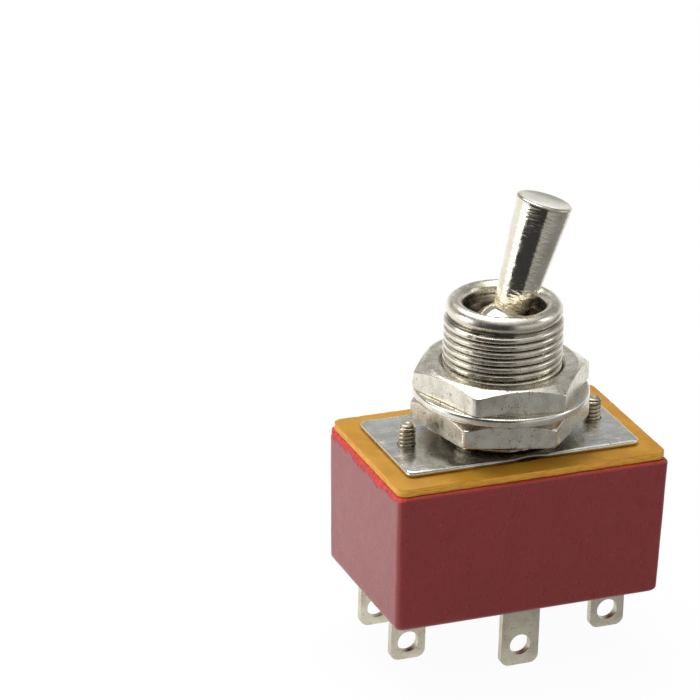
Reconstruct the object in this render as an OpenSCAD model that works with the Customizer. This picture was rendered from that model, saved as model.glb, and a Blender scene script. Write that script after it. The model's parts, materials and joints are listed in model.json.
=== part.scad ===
// Panel toggle switch, double pole double throw, bat handle, six solder tabs.
// Units are millimetres. The origin is on the bushing axis at the top face of the
// mounting plate. +Z points up the bushing, X runs along the long side.
// At rest the handle leans to +X and the contacts at the -X end are closed.

/* [Housing] */
// length of the moulded housing at its open top
housing_l = 29.0; // [28.6:0.1:30]
// width of the moulded housing at its open top
housing_w = 18.6; // [18.2:0.1:19.4]
// height of the moulded housing
housing_h = 14.6; // [14.4:0.1:15.4]
// how far each side leans inwards from top to bottom
housing_draft = 0.3; // [0.1:0.05:0.4]
// corner radius of the housing seen from above
housing_corner = 0.65; // [0.4:0.05:1.2]
// rounding of the top edge
housing_top_round = 0.25; // [0.1:0.05:0.4]
// rounding of the bottom edge
housing_foot_round = 0.6; // [0.3:0.05:0.9]
// wall left at each end of the contact channels
housing_wall = 1.6; // [1.4:0.1:1.8]

/* [Cover parts] */
// how far the sheet stays inside the housing at each end
sheet_end_gap = 0.15; // [0.05:0.05:0.5]
// how far the sheet stays inside the housing at each side
sheet_side_gap = 0.4; // [0.1:0.05:0.6]
// thickness of the insulating sheet
sheet_t = 0.8; // [0.6:0.05:1]
// corner radius of the insulating sheet
sheet_corner = 0.9; // [0.5:0.1:1.5]
// how far the plate stays inside the housing at each end
plate_end_gap = 2.0; // [1:0.1:2.2]
// how far the plate reaches beyond the bushing thread at each side
plate_lap = 0.65; // [0.5:0.05:1.8]
// thickness of the mounting plate
plate_t = 0.6; // [0.5:0.05:0.8]
// corner radius of the mounting plate
plate_corner = 0.8; // [0.5:0.1:1.5]
// depth of the shallow dent in the front edge of the plate
dent_depth = 0.3; // [0.1:0.05:0.5]

/* [Bushing] */
// outside diameter of the threaded bushing
thread_d = 11.9; // [11.8:0.05:12]
// height of the bushing above the plate
bushing_h = 14.2; // [13.8:0.1:15]
// height at which the thread ends
thread_top = 12.6; // [12:0.1:12.9]
// spacing of the plain ridges that stand for the thread, two turns each
ridge_step = 1.575; // [1.4:0.025:1.8]
// depth of the grooves between the ridges
ridge_depth = 0.4; // [0.2:0.05:0.45]
// roundness radius of the rolled rim
rim_round = 0.88; // [0.7:0.02:0.95]
// outside radius of the rolled rim
rim_r = 5.8; // [5.7:0.05:5.9]
// radius of the open mouth
mouth_r = 4.0; // [3.9:0.05:4.1]
// diameter of the hole in the plate that the bushing is staked into
stake_d = 11.3; // [11.1:0.05:11.5]

/* [Nuts and washer] */
// width of both nuts across their flats
nut_af = 15.45; // [15:0.05:16]
// height of each nut
nut_h = 2.6; // [2.2:0.1:2.8]
// gap between the plate and the lower nut
nut_gap = 1.5; // [1:0.1:1.8]
// turn of the lower nut
lower_turn = -16.7; // [-30:0.1:30]
// turn of the upper nut
upper_turn = -9.95; // [-30:0.1:30]
// radius of the flat top of a nut, where its chamfer starts
nut_face_r = 7.5; // [7.2:0.1:7.7]
// outside radius of the washer
washer_r = 8.85; // [8.5:0.05:9.4]
// thickness of the washer
washer_t = 0.95; // [0.7:0.05:1.1]

/* [Screws] */
// distance of each screw from its end of the housing
screw_inset = 4.37; // [4.2:0.01:4.5]
// screw diameter
screw_d = 2.0; // [1.8:0.1:2.2]
// height of the screw ends above the plate
screw_out = 2.2; // [1.5:0.1:2.8]
// diameter of the screw heads
screw_head_d = 3.8; // [3.4:0.1:3.9]
// height of the screw heads
screw_head_h = 1.6; // [1.2:0.1:2]
// depth of the head seat below the top face of the plate
screw_seat = 7.8; // [6.5:0.1:9]

/* [Lever] */
// lean of the handle to each side of upright
lever_lean = 15; // [13:0.5:15]
// height of the pivot above the plate
pivot_z = 9.75; // [9.7:0.05:9.8]
// radius of the pivot ball
ball_r = 3.8; // [3.75:0.01:3.82]
// neck radius of the handle just above the ball
neck_r = 1.95; // [1.8:0.05:2.05]
// radius of the handle at its tip
tip_r = 2.8; // [2.4:0.05:3]
// length of the handle from pivot to tip
handle_l = 14.84; // [13:0.1:18]
// chamfer on the edge of the tip
tip_chamfer = 0.25; // [0.1:0.05:0.5]
// outside radius of the hollow stem below the ball
stem_r = 1.7; // [1.6:0.05:1.75]
// length of the stem from pivot to its lower end
stem_l = 15.0; // [14:0.1:15.4]
// how far the spring chamber reaches up the stem from its lower end
spring_chamber = 8.0; // [7:0.1:9]
// length of the fitted spring
spring_l = 4.5; // [4:0.1:5]
// radius of the cross pin
pin_r = 0.6; // [0.5:0.05:0.65]

/* [Contact mechanism] */
// tilt of each rocker to each side of level
rocker_tilt = 8; // [7.8:0.05:8.1]
// depth of the rocker fulcrum below the top face of the plate
fulcrum_depth = 12.5; // [12.4:0.05:12.6]
// distance of each rocker from the middle plane
rocker_y = 5.5; // [5.4:0.05:5.6]
// width of a rocker strip
rocker_w = 2.6; // [2.2:0.1:2.6]
// thickness of a rocker strip
rocker_t = 0.8; // [0.7:0.05:0.9]
// radius of the plunger feet
foot_r = 1.0; // [0.9:0.05:1.1]
// height of the plunger's cross bar
cross_bar_h = 1.6; // [1.4:0.1:2]
// distance of the contacts from the middle
contact_x = 8.0; // [7.9:0.05:8.1]
// radius of the contact heads
contact_r = 0.9; // [0.7:0.05:1]

/* [Solder tabs] */
// thickness of the tab metal
tab_t = 0.8; // [0.7:0.05:0.85]
// width of the four end tabs
end_tab_w = 3.72; // [3.4:0.01:3.8]
// distance of the end tabs from their end of the housing
end_tab_inset = 3.55; // [3.5:0.05:3.65]
// distance of the end tab blades from the long middle plane
end_tab_y = 4.0; // [3.9:0.05:4.2]
// distance of the end tab roots from the long middle plane
end_root_y = 4.6; // [4.55:0.05:4.7]
// depth of the end tab tips below the top face of the plate
end_tab_tip = 21.55; // [20.5:0.05:23]
// depth of the end tab eyes below the top face of the plate
end_eye = 19.66; // [19.4:0.02:19.8]
// width of the two centre tabs
mid_tab_w = 4.07; // [3.6:0.01:4.2]
// distance of the centre tabs from the long middle plane
mid_tab_y = 6.9; // [6.8:0.05:7]
// depth of the centre tab tips below the top face of the plate
mid_tab_tip = 22.62; // [21.8:0.02:24]
// depth of the centre tab eyes below the top face of the plate
mid_eye = 20.41; // [20.1:0.02:20.6]
// diameter of the eyes
eye_d = 2.2; // [1.8:0.1:2.4]
// corner rounding of the tab tips
tab_round = 0.9; // [0.4:0.1:1.2]

/* [Hidden] */
fine = 96;
mid = 48;
small = 32;
// clearances: turning and sliding fits, loose fits, and cuts that run past a face
fit = 0.05;
loose = 0.1;
past = 1;
// places that follow the housing
sheet_l = housing_l - 2 * sheet_end_gap;
sheet_w = housing_w - 2 * sheet_side_gap;
plate_l = housing_l - 2 * plate_end_gap;
plate_w = thread_d + 2 * plate_lap;
screw_x = housing_l / 2 - screw_inset;
end_tab_x = housing_l / 2 - end_tab_inset;
// heights of the stack
sheet_z = -plate_t - sheet_t;
foot_z = sheet_z - housing_h;
fulcrum_z = -fulcrum_depth;
shelf_top = fulcrum_z - 0.23;
floor_z = shelf_top - tab_t;
lower_nut_z = nut_gap;
washer_z = lower_nut_z + nut_h;
upper_nut_z = washer_z + washer_t;
thread_r = thread_d / 2;
nut_bore_r = thread_r + 0.03;
nut_corner_r = nut_af / sqrt(3);
// cavity of the housing
well_x = 6.8;
well_y = 7.9;
channel_x = housing_l / 2 - housing_wall;
channel_y = 3.3;
counterbore_r = screw_head_d / 2 + 0.2;
// bushing bore
bore_r = ball_r + fit;
lip_r = 3.45;
flare_r = 4.95;
keyway_reach = 4.75;
keyway_half = pin_r + fit;
flange_r = 6.3;
stake_z = sheet_z + loose;
// plunger: its feet swing on this radius about the lever pivot
drop = pivot_z - fulcrum_z;
foot_reach = drop - 1 - foot_r - fit;
// seat of the feet on a rocker, an arc that follows them through the throw
seat_u = foot_reach * sin(lever_lean + rocker_tilt) - drop * sin(rocker_tilt);
seat_w = drop * cos(rocker_tilt) - foot_reach * cos(lever_lean + rocker_tilt);
seat_rise = seat_w - (drop - foot_reach);
path_r = (seat_u * seat_u + seat_rise * seat_rise) / (2 * seat_rise);
seat_r = path_r + foot_r + fit;
seat_centre = 1 + seat_r;
arm_top = 2.6;
arm_end = 9.1;
arm_low = arm_top - rocker_t;
join_low = sqrt(pow(seat_r + rocker_t, 2) - pow(seat_centre - arm_low, 2));
join_top = sqrt(pow(seat_r, 2) - pow(seat_centre - arm_top, 2));
head_h = 0.5;
face_r = contact_r - 0.4;
// lowest point of a closed moving contact above the fulcrum
closed_w = -(contact_x + face_r) * sin(rocker_tilt) + (arm_low - head_h) * cos(rocker_tilt);
fixed_h = fulcrum_z + closed_w - 0.03 - shelf_top;
spring_top = stem_l - spring_chamber;
spring_low = spring_top + spring_l;
spring_mean = 0.75;
wire_r = 0.17;
spring_turns = 6;
stem_bore = 1.1;

// points of a rectangle with rounded corners, centred
function arc_pts(cx, cy, r, a0) =
    [for (i = [0 : 5]) [cx + r * cos(a0 + 18 * i), cy + r * sin(a0 + 18 * i)]];
function round_rect(l, w, r) = concat(
    arc_pts(l / 2 - r, w / 2 - r, r, 0), arc_pts(-l / 2 + r, w / 2 - r, r, 90),
    arc_pts(-l / 2 + r, -w / 2 + r, r, 180), arc_pts(l / 2 - r, -w / 2 + r, r, 270));

// flat rectangle with truly round corners
module rounded_plate(l, w, t, r) {
    linear_extrude(t) {
        square([l - 2 * r, w], center = true);
        square([l, w - 2 * r], center = true);
        for (sx = [-1, 1], sy = [-1, 1])
            translate([sx * (l / 2 - r), sy * (w / 2 - r)]) circle(r, $fn = small);
    }
}

// one thin level of the drafted housing, inset from its full size
module housing_level(z, inset) {
    translate([0, 0, z])
        linear_extrude(0.01)
            polygon(round_rect(housing_l - 2 * inset, housing_w - 2 * inset, housing_corner));
}

// a drawing in the XZ plane, made t thick along Y about the given y
module upright(y, t) {
    translate([0, y, 0]) rotate([90, 0, 0]) linear_extrude(t, center = true) children();
}

// a drawing in the YZ plane, made l long along X about the given x
module sideways(x, l) {
    translate([x, 0, 0]) rotate([90, 0, 90]) linear_extrude(l, center = true) children();
}

// housing ---------------------------------------------------------------
module housing_block() {
    d = housing_draft;
    t = housing_top_round;
    f = housing_foot_round;
    hull() {
        housing_level(sheet_z - 0.01, t);
        housing_level(sheet_z - 0.3 * t, 0.3 * t);
        housing_level(sheet_z - t, 0);
        housing_level(foot_z + f, d);
        housing_level(foot_z + 0.3 * f, d + 0.3 * f);
        housing_level(foot_z, d + f);
    }
}

module housing_cavity() {
    depth = sheet_z - floor_z + past;
    translate([-well_x, -well_y, floor_z]) cube([2 * well_x, 2 * well_y, depth]);
    for (s = [0, 1])
        mirror([0, s, 0])
            translate([-channel_x, channel_y, floor_z])
                cube([2 * channel_x, well_y - channel_y, depth]);
}

// slots in the floor that the tabs stand in, with small relief pockets at their ends
module tab_slots() {
    depth = floor_z - foot_z + 2 * past;
    for (mx = [0, 1], my = [0, 1])
        mirror([mx, 0, 0]) mirror([0, my, 0]) {
            translate([end_tab_x - end_tab_w / 2 - loose, end_root_y - tab_t / 2 - loose,
                       foot_z - past])
                cube([end_tab_w + 2 * loose, tab_t + 2 * loose, depth]);
            for (e = [-1, 1])
                translate([end_tab_x + e * (end_tab_w / 2 + 0.05), end_root_y, foot_z])
                    cube([0.7, 1.3, 1.2], center = true);
        }
    for (my = [0, 1])
        mirror([0, my, 0])
            translate([-mid_tab_w / 2 - loose, mid_tab_y - tab_t / 2 - loose, foot_z - past])
                cube([mid_tab_w + 2 * loose, tab_t + 2 * loose, depth]);
}

module housing() {
    color([0.55, 0.10, 0.11])
        difference() {
            housing_block();
            housing_cavity();
            tab_slots();
            for (s = [-1, 1])
                translate([s * screw_x, 0, foot_z - past]) {
                    cylinder(h = housing_h + 2 * past, r = screw_d / 2 + loose, $fn = small);
                    cylinder(h = -screw_seat - foot_z + past, r = counterbore_r, $fn = mid);
                }
        }
}

// cover -----------------------------------------------------------------
module insulating_sheet() {
    color([0.80, 0.62, 0.27])
        difference() {
            translate([0, 0, sheet_z]) rounded_plate(sheet_l, sheet_w, sheet_t, sheet_corner);
            translate([0, 0, sheet_z - past])
                cylinder(h = sheet_t + 2 * past, r = flange_r + 0.2, $fn = fine);
            for (s = [-1, 1])
                translate([s * screw_x, 0, sheet_z - past])
                    cylinder(h = sheet_t + 2 * past, r = screw_d / 2 + loose, $fn = small);
        }
}

module mounting_plate() {
    dent_r = 5;
    color([0.66, 0.67, 0.66])
        difference() {
            translate([0, 0, -plate_t]) rounded_plate(plate_l, plate_w, plate_t, plate_corner);
            translate([0, 0, -plate_t - past])
                cylinder(h = plate_t + 2 * past, r = stake_d / 2, $fn = fine);
            for (s = [-1, 1])
                translate([s * screw_x, 0, -plate_t - past])
                    cylinder(h = plate_t + 2 * past, r = screw_d / 2 + fit, $fn = small);
            translate([0.6, -plate_w / 2 - dent_r + dent_depth, -plate_t - past])
                cylinder(h = plate_t + 2 * past, r = dent_r, $fn = mid);
        }
}

// bushing ---------------------------------------------------------------
module bushing() {
    shank_r = stake_d / 2 - fit;
    rim_c = rim_r - rim_round;
    rim_z = bushing_h - rim_round;
    rim_arc = [for (i = [0 : 5]) [rim_c + rim_round * cos(36 * i),
                                  rim_z + rim_round * sin(36 * i)]];
    ridges = round(thread_top / ridge_step);
    ridge_h = thread_top / ridges;
    // crest and groove of each ridge in turn, from the plate upwards
    thread_line = [for (i = [0 : ridges - 1], crest = [1, 0])
        [thread_r - (1 - crest) * ridge_depth, (i + (1 - crest) / 2) * ridge_h]];
    color([0.75, 0.72, 0.64])
        difference() {
            rotate_extrude($fn = fine)
                polygon(concat(
                    [[flare_r, stake_z], [flange_r, stake_z], [flange_r, -plate_t],
                     [shank_r, -plate_t], [shank_r, 0]],
                    thread_line,
                    [[thread_r, thread_top], [rim_r, thread_top + 0.15]],
                    rim_arc,
                    [[mouth_r, pivot_z + 2.6], [lip_r, pivot_z + 2.1], [lip_r, pivot_z + 1.8],
                     [bore_r, pivot_z + 1.15], [bore_r, 3]]));
            for (s = [-1, 1]) {
                translate([0, s * keyway_reach / 2, pivot_z]) rotate([90, 0, 0])
                    cylinder(h = keyway_reach, r = keyway_half, center = true, $fn = small);
                translate([-keyway_half, s > 0 ? 0 : -keyway_reach, stake_z - past])
                    cube([2 * keyway_half, keyway_reach, pivot_z - stake_z + past]);
            }
        }
}

// nuts and washer -------------------------------------------------------
module hex_nut(z, turn) {
    edge_r = nut_corner_r + 0.1;
    drop_h = 0.53 * (edge_r - nut_face_r);
    translate([0, 0, z])
        difference() {
            intersection() {
                rotate([0, 0, turn]) cylinder(h = nut_h, r = nut_corner_r, $fn = 6);
                rotate_extrude($fn = fine)
                    polygon([[0, 0], [edge_r - 0.6, 0], [edge_r, 0.3], [edge_r, nut_h - drop_h],
                             [nut_face_r, nut_h], [0, nut_h]]);
            }
            translate([0, 0, -past]) cylinder(h = nut_h + 2 * past, r = nut_bore_r, $fn = fine);
            translate([0, 0, nut_h - 0.3])
                cylinder(h = 0.6, r1 = nut_bore_r, r2 = nut_bore_r + 0.6, $fn = fine);
        }
}

module lower_nut() {
    color([0.73, 0.70, 0.63]) hex_nut(lower_nut_z, lower_turn);
}

module upper_nut() {
    color([0.73, 0.70, 0.63]) hex_nut(upper_nut_z, upper_turn);
}

module washer() {
    e = 0.2;
    color([0.76, 0.73, 0.66])
        translate([0, 0, washer_z])
            rotate_extrude($fn = fine)
                polygon([[thread_r + 0.15, 0], [washer_r - e, 0], [washer_r, e],
                         [washer_r, washer_t - e], [washer_r - e, washer_t],
                         [thread_r + 0.15, washer_t]]);
}

// screws ----------------------------------------------------------------
module clamp_screw(x) {
    r = screw_d / 2;
    length = screw_seat + screw_out;
    translate([x, 0, -screw_seat])
        difference() {
            union() {
                translate([0, 0, -screw_head_h])
                    cylinder(h = screw_head_h, r = screw_head_d / 2, $fn = mid);
                cylinder(h = length - 0.3, r = r, $fn = small);
                translate([0, 0, length - 0.3])
                    cylinder(h = 0.3, r1 = r, r2 = r - 0.3, $fn = small);
            }
            translate([-screw_head_d, -0.25, -screw_head_h - past])
                cube([2 * screw_head_d, 0.5, past + 0.7]);
            translate([0, 0, length - 0.2])
                cylinder(h = 0.4, r1 = 0, r2 = 0.8, $fn = small);
        }
}

module screw_left() {
    color([0.62, 0.58, 0.48]) clamp_screw(-screw_x);
}

module screw_right() {
    color([0.62, 0.58, 0.48]) clamp_screw(screw_x);
}

// lever -----------------------------------------------------------------
// places children, drawn upright about the pivot, at the rest lean
module at_lean() {
    translate([0, 0, pivot_z]) rotate([0, lever_lean, 0]) children();
}

module lever() {
    top_a = acos((neck_r + 0.2) / ball_r);
    low_a = -acos(stem_r / ball_r);
    steps = 9;
    ball = [for (i = [0 : steps])
        let (a = low_a + (top_a - low_a) * i / steps) [ball_r * cos(a), ball_r * sin(a)]];
    color([0.72, 0.70, 0.64])
        at_lean()
            difference() {
                rotate_extrude($fn = fine)
                    polygon(concat(
                        [[0, -stem_l], [stem_r, -stem_l]], ball,
                        [[neck_r, ball_r * sin(top_a) + 0.35], [tip_r, handle_l - tip_chamfer],
                         [tip_r - tip_chamfer, handle_l], [0, handle_l]]));
                translate([0, 0, -stem_l - past])
                    cylinder(h = stem_l + past - spring_top, r = stem_bore, $fn = small);
                rotate([90, 0, 0])
                    cylinder(h = 2 * ball_r + 2 * past, r = pin_r, center = true, $fn = small);
            }
}

module lever_pin() {
    color([0.60, 0.60, 0.60])
        at_lean()
            rotate([90, 0, 0])
                cylinder(h = 2 * (keyway_reach - loose), r = pin_r, center = true, $fn = small);
}

// flat section of a coil of round wire, which a twisted extrusion turns into the coil
function coil_edge(side, reach, pitch) =
    [for (i = [0 : 8])
        let (a = side * reach * (i / 4 - 1),
             r = spring_mean + side * sqrt(max(0, pow(wire_r, 2) - pow(pitch * a / 360, 2))))
        [r * cos(a), r * sin(a)]];

module lever_spring() {
    length = spring_low - spring_top - 2 * fit;
    pitch = length / spring_turns;
    reach = 359 * wire_r / pitch;
    edge = coil_edge(1, reach, pitch);
    back = coil_edge(-1, reach, pitch);
    color([0.55, 0.56, 0.58])
        at_lean()
            translate([0, 0, -spring_low + fit])
                linear_extrude(length, twist = -360 * spring_turns, slices = 8 * spring_turns)
                    polygon(concat(edge, [for (i = [1 : 7]) back[i]]));
}

// plunger: shank in the stem and a cross bar with two rounded feet
module plunger() {
    bar_l = 2 * rocker_y + rocker_w - 0.4;
    color([0.88, 0.84, 0.72])
        at_lean() {
            translate([0, 0, -foot_reach])
                cylinder(h = foot_reach - spring_low, r = stem_bore - fit, $fn = small);
            translate([0, 0, -foot_reach]) rotate([90, 0, 0])
                cylinder(h = bar_l, r = foot_r, center = true, $fn = mid);
            translate([-foot_r + 0.15, -bar_l / 2, -foot_reach])
                cube([2 * foot_r - 0.3, bar_l, cross_bar_h]);
        }
}

// rockers: drawn about the fulcrum, level, then tilted to rest
module rocker_shape() {
    difference() {
        union() {
            intersection() {
                translate([0, seat_centre]) circle(seat_r + rocker_t, $fn = fine);
                translate([-join_low, -0.1]) square([2 * join_low, arm_top + 0.1]);
            }
            translate([-1, 0.05]) square([2, 0.6]);
            for (s = [-1, 1])
                translate([s > 0 ? join_top - 0.4 : -arm_end, arm_low])
                    square([arm_end - join_top + 0.4, rocker_t]);
        }
        translate([0, seat_centre]) circle(seat_r, $fn = fine);
        circle(0.55, $fn = small);
    }
}

module at_tilt(y) {
    translate([0, y, fulcrum_z]) rotate([0, -rocker_tilt, 0]) children();
}

module rocker(y) {
    at_tilt(y) upright(0, rocker_w) rocker_shape();
}

module rocker_front() {
    color([0.78, 0.58, 0.32]) rocker(-rocker_y);
}

module rocker_back() {
    color([0.78, 0.58, 0.32]) rocker(rocker_y);
}

// contact buttons: the moving ones hang under the arms, the fixed ones stand on the tabs
module moving_button(x, y) {
    bevel = contact_r - face_r;
    at_tilt(y)
        translate([x, 0, arm_low - head_h]) {
            cylinder(h = bevel / 2, r1 = face_r, r2 = contact_r, $fn = mid);
            translate([0, 0, bevel / 2])
                cylinder(h = head_h - bevel / 2, r = contact_r, $fn = mid);
        }
}

module fixed_button(x, y) {
    translate([x, y, shelf_top]) cylinder(h = fixed_h, r = contact_r, $fn = mid);
}

module moving_contact_1() {
    color([0.85, 0.84, 0.80]) moving_button(-contact_x, -rocker_y);
}

module moving_contact_3() {
    color([0.85, 0.84, 0.80]) moving_button(contact_x, -rocker_y);
}

module moving_contact_4() {
    color([0.85, 0.84, 0.80]) moving_button(-contact_x, rocker_y);
}

module moving_contact_6() {
    color([0.85, 0.84, 0.80]) moving_button(contact_x, rocker_y);
}

module fixed_contact_1() {
    color([0.85, 0.84, 0.80]) fixed_button(-contact_x, -rocker_y);
}

module fixed_contact_3() {
    color([0.85, 0.84, 0.80]) fixed_button(contact_x, -rocker_y);
}

module fixed_contact_4() {
    color([0.85, 0.84, 0.80]) fixed_button(-contact_x, rocker_y);
}

module fixed_contact_6() {
    color([0.85, 0.84, 0.80]) fixed_button(contact_x, rocker_y);
}

// solder tabs -----------------------------------------------------------
// outline of a tab blade in its own plane, from its tip up to a given height
module blade_outline(w, tip, top) {
    translate([-w / 2, -tip + tab_round]) square([w, tip - tab_round + top]);
    translate([-w / 2 + tab_round, -tip]) square([w - 2 * tab_round, tab_round + 0.5]);
    for (s = [-1, 1])
        translate([s * (w / 2 - tab_round), -tip + tab_round]) circle(tab_round, $fn = small);
}

// end tab of the +X +Y corner: blade, joggle, root and the shelf that carries a contact
module end_tab() {
    t = tab_t / 2;
    bend_low = foot_z - 1.2;
    bend_top = foot_z - 0.25;
    shelf_in = contact_x - 1.1;
    shelf_out = end_tab_x + end_tab_w / 2;
    difference() {
        union() {
            upright(end_tab_y, tab_t)
                translate([end_tab_x, 0]) blade_outline(end_tab_w, end_tab_tip, bend_low);
            sideways(end_tab_x, end_tab_w)
                polygon([[end_tab_y - t, bend_low], [end_tab_y + t, bend_low],
                         [end_root_y + t, bend_top], [end_root_y + t, shelf_top],
                         [end_root_y - t, shelf_top], [end_root_y - t, bend_top]]);
            translate([shelf_in, end_root_y - t, floor_z])
                cube([shelf_out - shelf_in, rocker_y + rocker_w / 2 + t - end_root_y, tab_t]);
        }
        translate([end_tab_x, end_tab_y, -end_eye]) rotate([90, 0, 0])
            cylinder(h = 2 * tab_t, r = eye_d / 2, center = true, $fn = mid);
    }
}

// centre tab of the +Y side: blade, shelf and the ridge that the rocker rides on
module mid_tab() {
    t = tab_t / 2;
    difference() {
        union() {
            upright(mid_tab_y, tab_t) blade_outline(mid_tab_w, mid_tab_tip, shelf_top);
            translate([-mid_tab_w / 2, rocker_y - rocker_w / 2, floor_z])
                cube([mid_tab_w, mid_tab_y + t - rocker_y + rocker_w / 2, tab_t]);
            translate([0, rocker_y, fulcrum_z]) rotate([90, 0, 0])
                cylinder(h = rocker_w, r = 0.5, center = true, $fn = small);
        }
        translate([0, mid_tab_y, -mid_eye]) rotate([90, 0, 0])
            cylinder(h = 2 * tab_t, r = eye_d / 2, center = true, $fn = mid);
    }
}

module terminal_1() {
    color([0.72, 0.69, 0.60]) mirror([1, 0, 0]) mirror([0, 1, 0]) end_tab();
}

module terminal_2() {
    color([0.72, 0.69, 0.60]) mirror([0, 1, 0]) mid_tab();
}

module terminal_3() {
    color([0.72, 0.69, 0.60]) mirror([0, 1, 0]) end_tab();
}

module terminal_4() {
    color([0.72, 0.69, 0.60]) mirror([1, 0, 0]) end_tab();
}

module terminal_5() {
    color([0.72, 0.69, 0.60]) mid_tab();
}

module terminal_6() {
    color([0.72, 0.69, 0.60]) end_tab();
}

housing();
insulating_sheet();
mounting_plate();
bushing();
lower_nut();
washer();
upper_nut();
screw_left();
screw_right();
lever();
lever_pin();
lever_spring();
plunger();
rocker_front();
rocker_back();
terminal_1();
terminal_2();
terminal_3();
terminal_4();
terminal_5();
terminal_6();
fixed_contact_1();
fixed_contact_3();
fixed_contact_4();
fixed_contact_6();
moving_contact_1();
moving_contact_3();
moving_contact_4();
moving_contact_6();
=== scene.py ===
"""Looks of the panel toggle switch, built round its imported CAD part.

The geometry is drawn in millimetres in the part's own frame and scaled to metres when a
mesh is made. Each piece replaces the CAD node of the same name and rides on its body.
"""

import json
import math

import bmesh
import bpy
import numpy as np
from mathutils import Matrix, Vector, noise


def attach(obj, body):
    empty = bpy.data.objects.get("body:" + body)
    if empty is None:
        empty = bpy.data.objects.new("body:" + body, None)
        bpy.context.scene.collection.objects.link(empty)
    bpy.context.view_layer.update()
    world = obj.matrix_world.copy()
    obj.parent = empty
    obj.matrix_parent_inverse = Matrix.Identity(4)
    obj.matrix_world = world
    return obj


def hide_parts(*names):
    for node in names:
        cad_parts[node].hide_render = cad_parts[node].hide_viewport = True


MM = 0.001

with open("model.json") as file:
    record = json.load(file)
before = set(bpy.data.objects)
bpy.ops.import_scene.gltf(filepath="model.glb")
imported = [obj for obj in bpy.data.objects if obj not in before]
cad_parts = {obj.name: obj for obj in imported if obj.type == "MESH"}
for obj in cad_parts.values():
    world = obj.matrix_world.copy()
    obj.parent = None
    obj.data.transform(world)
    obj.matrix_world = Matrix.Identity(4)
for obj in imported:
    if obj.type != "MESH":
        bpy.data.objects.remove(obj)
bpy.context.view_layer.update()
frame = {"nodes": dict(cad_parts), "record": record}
NODES = frame["nodes"]
CLEAN_COLLECTION = bpy.context.scene.collection

# ---------------------------------------------------------------- sizes, mm
PLATE_Z = (-0.6, 0.0)
SHEET_Z = (-1.4, -0.6)
HOUSING_Z = (-16.0, -1.4)
HOUSING_SIZE = (29.0, 18.6)
HOUSING_DRAFT = 0.3
HOUSING_CORNER = 0.65
SHEET_SIZE = (28.7, 17.8)
PLATE_SIZE = (25.0, 13.2)
SCREW_X = 10.13
SCREW_PLACES = (-9.98, 10.23)
SCREW_TOP = 2.2
SCREW_SEAT = -7.8
SCREW_SHAFT_R, SCREW_HEAD_R = 1.1, 2.1  # holes in the housing
SCREW_CREST, SCREW_ROOT, SCREW_PITCH = 0.88, 0.62, 0.42
SCREW_HOLE_R = 0.95  # in the plate
END_TAB_X, END_ROOT_Y, END_TAB_W = 10.95, 4.6, 3.72
MID_TAB_Y, MID_TAB_W = 6.9, 4.07
FLOOR_Z = -13.53  # floor of the housing's cavity
CAVITY_X, END_CAVITY_X = 6.8, 12.9
CAVITY_Y = (3.3, 7.9)
SLOT_HALF = 0.5
THREAD_R, THREAD_ROOT, PITCH = 5.95, 5.53, 0.794
THREAD_TOP = 12.6
RIM_R, RIM_ROUND, BUSHING_TOP = 5.8, 0.88, 14.2
NUT_AF, NUT_H, NUT_FACE_R = 15.6, 2.6, 7.5
LOWER_NUT_Z, WASHER_Z, UPPER_NUT_Z = 1.5, 4.1, 5.05
WASHER_R, WASHER_T = 8.85, 0.95
PIVOT_Z, LEAN = 9.75, math.radians(15)
BALL_R, NECK_R, TIP_R, HANDLE_L = 3.8, 1.95, 2.85, 14.9
STEM_R, STEM_BORE, STEM_L, CHAMBER = 1.7, 1.1, 15.0, 8.0


# ---------------------------------------------------------------- mesh helpers
def make_object(name, verts, faces, smooth_angle=35):
    """A mesh object from millimetre points, smooth except across sharp edges."""
    mesh = bpy.data.meshes.new(name)
    points = np.asarray(verts, dtype=float) * MM
    mesh.from_pydata(points.tolist(), [], faces)
    mesh.validate()
    obj = bpy.data.objects.new(name, mesh)
    CLEAN_COLLECTION.objects.link(obj)
    finish_mesh(obj, smooth_angle)
    return obj


def finish_mesh(obj, smooth_angle=35):
    """Outward normals, smooth shading and sharp edges by angle."""
    bm = bmesh.new()
    bm.from_mesh(obj.data)
    bmesh.ops.remove_doubles(bm, verts=bm.verts, dist=1e-7)
    bmesh.ops.recalc_face_normals(bm, faces=bm.faces)
    limit = math.radians(smooth_angle)
    for edge in bm.edges:
        edge.smooth = len(edge.link_faces) == 2 and edge.calc_face_angle(0) < limit
    for face in bm.faces:
        face.smooth = True
    bm.to_mesh(obj.data)
    bm.free()


def ring_faces(rows, cols, close_rows=False):
    """Quads of a grid whose columns wrap round, and whose rows do if asked."""
    faces = []
    last = rows if close_rows else rows - 1
    for i in range(last):
        a, b = i * cols, ((i + 1) % rows) * cols
        faces += [(a + j, a + (j + 1) % cols, b + (j + 1) % cols, b + j) for j in range(cols)]
    return faces


def ring_object(name, grid, close_rows=False, caps=False, smooth_angle=35):
    """An object from an array rows x columns x 3 of millimetre points."""
    rows, cols = grid.shape[:2]
    faces = ring_faces(rows, cols, close_rows)
    if caps:
        faces += [tuple(reversed(range(cols))), tuple(range((rows - 1) * cols, rows * cols))]
    return make_object(name, grid.reshape(-1, 3), faces, smooth_angle)


def turned_grid(radii, heights, cols):
    """Grid of a turned form. radii and heights are rows, or rows x columns."""
    angle = np.linspace(0, 2 * math.pi, cols, endpoint=False)
    radii = np.asarray(radii, dtype=float)
    heights = np.asarray(heights, dtype=float)
    if radii.ndim == 1:
        radii = np.repeat(radii[:, None], cols, axis=1)
    if heights.ndim == 1:
        heights = np.repeat(heights[:, None], cols, axis=1)
    return np.stack([radii * np.cos(angle), radii * np.sin(angle), heights], axis=2)


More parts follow.
